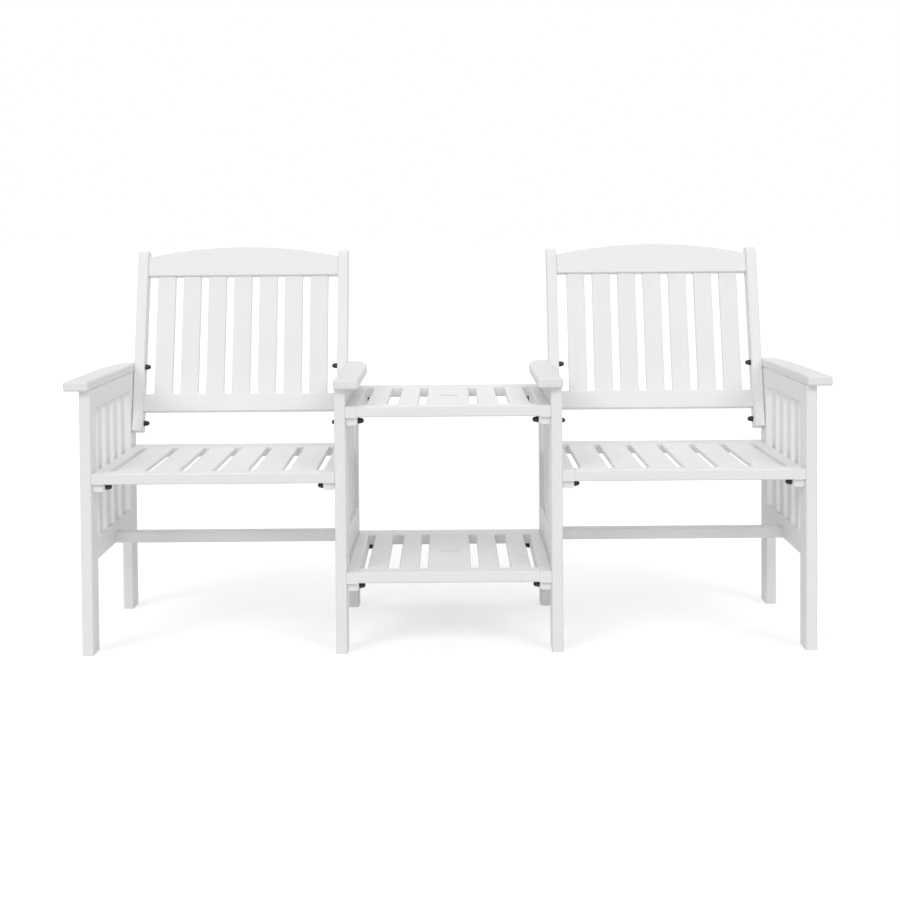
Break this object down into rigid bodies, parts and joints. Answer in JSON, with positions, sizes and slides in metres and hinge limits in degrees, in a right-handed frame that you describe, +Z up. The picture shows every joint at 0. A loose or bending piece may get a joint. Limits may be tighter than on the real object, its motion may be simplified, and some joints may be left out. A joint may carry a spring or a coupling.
{
  "type": "companion seat bench",
  "caption": "Slatted garden bench whose armchairs are joined by a table over a lower shelf, with lift-out caps in the parasol holes.",
  "frame": {"origin": "on the ground, below the middle of the whole object", "axes": "+X along the bench, from the left chair to the right one as seen from the front, +Y from front to back, +Z up"},
  "size_m": [1.696, 0.626, 0.9045],
  "materials": {
    "painted_timber": "satin white paint",
    "white_plastic": "matt",
    "bolt_steel": "zinc plated",
    "black_metal": "satin black"
  },
  "bodies": {
    "bench": {"left_outer_front_leg": "painted_timber", "left_outer_rear_leg": "painted_timber", "left_outer_upper_rail": "painted_timber", "left_outer_lower_rail": "painted_timber", "left_outer_armrest": "painted_timber", "left_outer_slats": "painted_timber", "left_inner_front_leg": "painted_timber", "left_inner_rear_leg": "painted_timber", "left_inner_upper_rail": "painted_timber", "left_inner_lower_rail": "painted_timber", "left_inner_armrest": "painted_timber", "left_inner_slats": "painted_timber", "right_inner_front_leg": "painted_timber", "right_inner_rear_leg": "painted_timber", "right_inner_upper_rail": "painted_timber", "right_inner_lower_rail": "painted_timber", "right_inner_armrest": "painted_timber", "right_inner_slats": "painted_timber", "right_outer_front_leg": "painted_timber", "right_outer_rear_leg": "painted_timber", "right_outer_upper_rail": "painted_timber", "right_outer_lower_rail": "painted_timber", "right_outer_armrest": "painted_timber", "right_outer_slats": "painted_timber", "left_seat_front_rail": "painted_timber", "left_seat_rear_rail": "painted_timber", "left_seat_side_boards": "painted_timber", "left_seat_slats": "painted_timber", "left_back_posts": "painted_timber", "left_back_top_rail": "painted_timber", "left_back_low_rail": "painted_timber", "left_back_slats": "painted_timber", "right_seat_front_rail": "painted_timber", "right_seat_rear_rail": "painted_timber", "right_seat_side_boards": "painted_timber", "right_seat_slats": "painted_timber", "right_back_posts": "painted_timber", "right_back_top_rail": "painted_timber", "right_back_low_rail": "painted_timber", "right_back_slats": "painted_timber", "table_front_rail": "painted_timber", "table_rear_rail": "painted_timber", "table_side_boards": "painted_timber", "table_slats": "painted_timber", "table_centre_board": "painted_timber", "shelf_front_rail": "painted_timber", "shelf_rear_rail": "painted_timber", "shelf_side_boards": "painted_timber", "shelf_slats": "painted_timber", "shelf_centre_board": "painted_timber", "bearers": "painted_timber", "stretchers": "painted_timber", "panel_bolts": "bolt_steel", "back_bolts": "bolt_steel", "arm_bolts": "bolt_steel", "stretcher_screws": "bolt_steel", "cap_nuts": "black_metal"},
    "table_cap": {"table_hole_cap": "white_plastic"},
    "shelf_cap": {"shelf_hole_cap": "white_plastic"}
  },
  "joints": [
    {"name": "table_cap_lift", "type": "slide", "parent": "bench", "child": "table_cap", "axis": [0, 0, 1], "range_m": [0, 0.04]},
    {"name": "shelf_cap_lift", "type": "slide", "parent": "bench", "child": "shelf_cap", "axis": [0, 0, 1], "range_m": [0, 0.04]}
  ]
}
